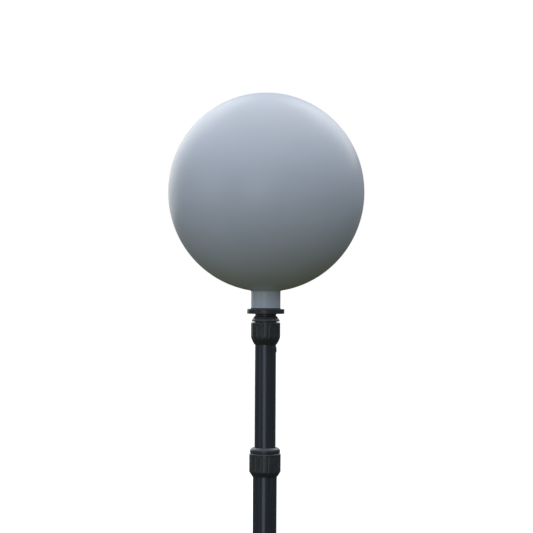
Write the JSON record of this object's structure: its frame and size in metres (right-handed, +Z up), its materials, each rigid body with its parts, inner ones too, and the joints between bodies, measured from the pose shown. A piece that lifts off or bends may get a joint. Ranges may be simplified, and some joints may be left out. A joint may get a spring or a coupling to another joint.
{
  "type": "ball-topped telescoping game pole",
  "caption": "Hollow moulded ball on a flanged head at the top of a three-section telescoping pole with two fluted twist locks and a foot boot.",
  "frame": {"origin": "centre of the foot boot's bottom face, on the pole's axis", "axes": "+Z up the pole to the ball; -Y is the front, +X is the side with the stop rivet"},
  "size_m": [0.2045, 0.2044, 0.691],
  "materials": {
    "ball_plastic": "satin moulded, pale blue-grey",
    "black_plastic": "fine moulded texture",
    "black_tube": "satin black anodised",
    "acetal": "natural acetal",
    "pin_steel": "plain",
    "black_rubber": "moulded black rubber"
  },
  "bodies": {
    "lower_pole": {"lower_tube": "black_tube", "foot_boot": "black_plastic", "lower_lock_base": "black_plastic", "lower_lock_collet": "acetal", "lower_lock_pins": "pin_steel"},
    "lower_lock": {"lower_lock_nut": "black_plastic", "lower_lock_cap": "black_plastic"},
    "lower_wedge": {"lower_lock_wedge": "acetal"},
    "upper_slide": {"upper_guide_bush": "acetal"},
    "upper_pole": {"upper_tube": "black_tube", "upper_lock_base": "black_plastic", "upper_lock_collet": "acetal", "upper_lock_pins": "pin_steel", "stop_rivet": "black_plastic"},
    "upper_lock": {"upper_lock_nut": "black_plastic", "upper_lock_cap": "black_plastic"},
    "upper_wedge": {"upper_lock_wedge": "acetal"},
    "inner_slide": {"inner_guide_bush": "acetal"},
    "inner_pole": {"inner_tube": "black_tube", "head_adapter": "black_plastic", "adapter_pin": "pin_steel", "neck_gasket": "black_rubber", "spigot_seal": "black_rubber"},
    "ball_top": {"ball": "ball_plastic"}
  },
  "joints": [
    {"name": "lower_nut_turn", "type": "hinge", "parent": "lower_pole", "child": "lower_lock", "pos_m": [0, 0, 0.303], "axis": [0, 0, 1], "range_deg": [0, 90]},
    {"name": "lower_wedge_lift", "type": "slide", "parent": "lower_pole", "child": "lower_wedge", "axis": [0, 0, 1], "range_m": [0, 0.001]},
    {"name": "pole_slide", "type": "slide", "parent": "lower_pole", "child": "upper_slide", "axis": [0, 0, 1], "range_m": [-0.098, 0.14]},
    {"name": "pole_swivel", "type": "hinge", "parent": "upper_slide", "child": "upper_pole", "pos_m": [0, 0, 0.291], "axis": [0, 0, 1], "continuous": true},
    {"name": "upper_nut_turn", "type": "hinge", "parent": "upper_pole", "child": "upper_lock", "pos_m": [0, 0, 0.4406], "axis": [0, 0, 1], "range_deg": [0, 90]},
    {"name": "upper_wedge_lift", "type": "slide", "parent": "upper_pole", "child": "upper_wedge", "axis": [0, 0, 1], "range_m": [0, 0.001]},
    {"name": "head_slide", "type": "slide", "parent": "upper_pole", "child": "inner_slide", "axis": [0, 0, 1], "range_m": [0, 0.18]},
    {"name": "head_swivel", "type": "hinge", "parent": "inner_slide", "child": "inner_pole", "pos_m": [0, 0, 0.4286], "axis": [0, 0, 1], "continuous": true},
    {"name": "ball_pull_off", "type": "slide", "parent": "inner_pole", "child": "ball_top", "axis": [0, 0, 1], "range_m": [0, 0.018]}
  ],
  "couplings": [
    {"joint": "lower_wedge_lift", "follows": "lower_nut_turn", "m_per_rad": 0.00063},
    {"joint": "upper_wedge_lift", "follows": "upper_nut_turn", "m_per_rad": 0.00063}
  ]
}
